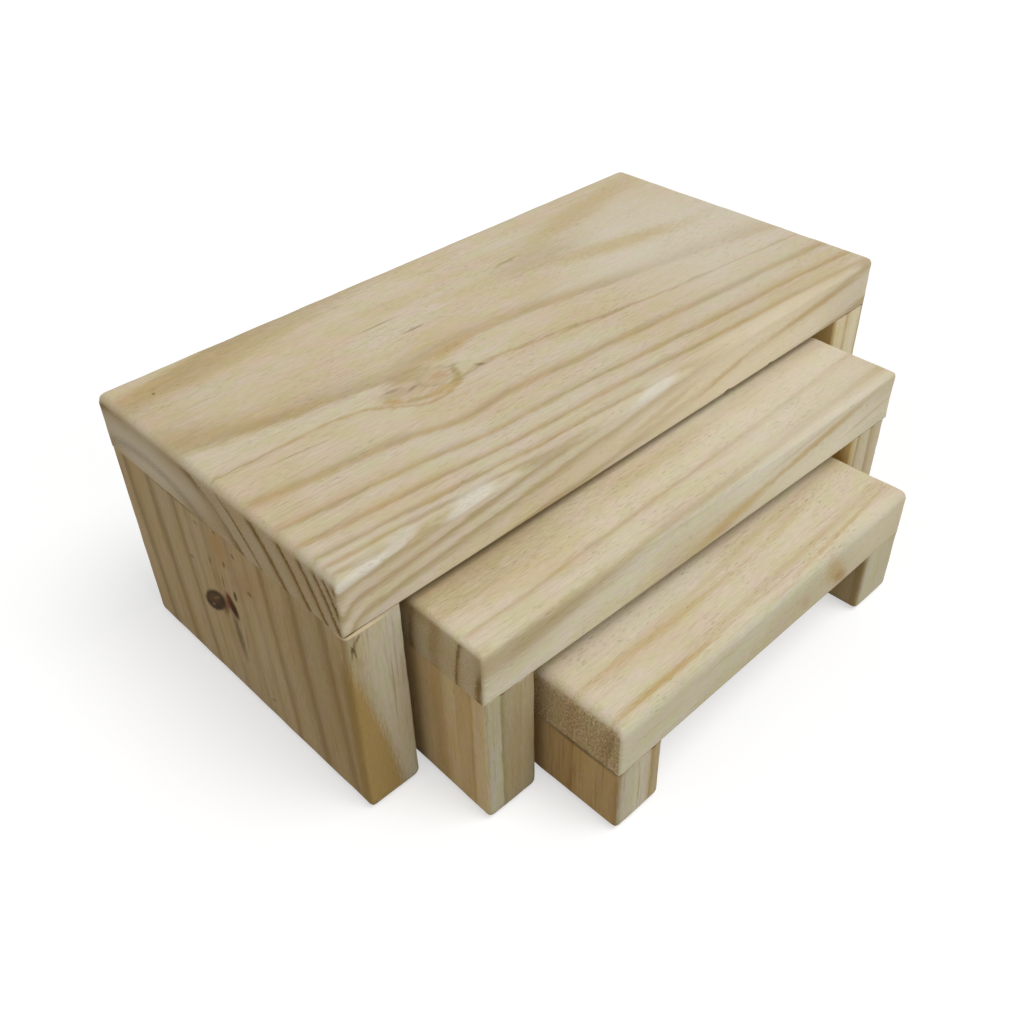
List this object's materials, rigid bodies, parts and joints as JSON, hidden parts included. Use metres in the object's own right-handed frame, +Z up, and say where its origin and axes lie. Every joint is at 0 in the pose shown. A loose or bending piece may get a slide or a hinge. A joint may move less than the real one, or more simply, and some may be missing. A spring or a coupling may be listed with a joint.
{
  "type": "nesting buffet stand set",
  "caption": "Set of bridge-shaped pine risers of one width that nest inside each other and slide forward to form steps for dishes on a buffet.",
  "frame": {"origin": "on the table, under the middle of the set's bounding box as pictured", "axes": "+Z up, +X along the boards to the right seen from the front, -Y towards the front, the way the smaller stands are drawn out"},
  "size_m": [0.279, 0.2036, 0.105],
  "materials": {
    "large_pine_top": "sanded bare pine, pale cream with golden grain",
    "large_pine_leg": "sanded bare pine, brown with a knot",
    "medium_pine_top": "sanded bare pine, cream with yellow streaks",
    "medium_pine_leg": "sanded bare pine, brown upright grain",
    "small_pine_top": "sanded bare pine, cream with fine dark dashes",
    "small_pine_leg": "sanded bare pine, brown upright grain",
    "beech_dowel": "fluted beech, glued and hidden"
  },
  "bodies": {
    "large_stand": {"large_top": "large_pine_top", "large_left_leg": "large_pine_leg", "large_left_dowel_front": "beech_dowel", "large_left_dowel_middle": "beech_dowel", "large_left_dowel_back": "beech_dowel", "large_right_leg": "large_pine_leg", "large_right_dowel_front": "beech_dowel", "large_right_dowel_middle": "beech_dowel", "large_right_dowel_back": "beech_dowel"},
    "medium_stand": {"medium_top": "medium_pine_top", "medium_left_leg": "medium_pine_leg", "medium_left_dowel_front": "beech_dowel", "medium_left_dowel_middle": "beech_dowel", "medium_left_dowel_back": "beech_dowel", "medium_right_leg": "medium_pine_leg", "medium_right_dowel_front": "beech_dowel", "medium_right_dowel_middle": "beech_dowel", "medium_right_dowel_back": "beech_dowel"},
    "small_stand": {"small_top": "small_pine_top", "small_left_leg": "small_pine_leg", "small_left_dowel_front": "beech_dowel", "small_left_dowel_middle": "beech_dowel", "small_left_dowel_back": "beech_dowel", "small_right_leg": "small_pine_leg", "small_right_dowel_front": "beech_dowel", "small_right_dowel_middle": "beech_dowel", "small_right_dowel_back": "beech_dowel"}
  },
  "joints": [
    {"name": "medium_slide", "type": "slide", "parent": "large_stand", "child": "medium_stand", "axis": [0, -1, 0], "range_m": [-0.0336, 0.1124]},
    {"name": "small_slide", "type": "slide", "parent": "medium_stand", "child": "small_stand", "axis": [0, -1, 0], "range_m": [-0.03, 0.116]}
  ]
}
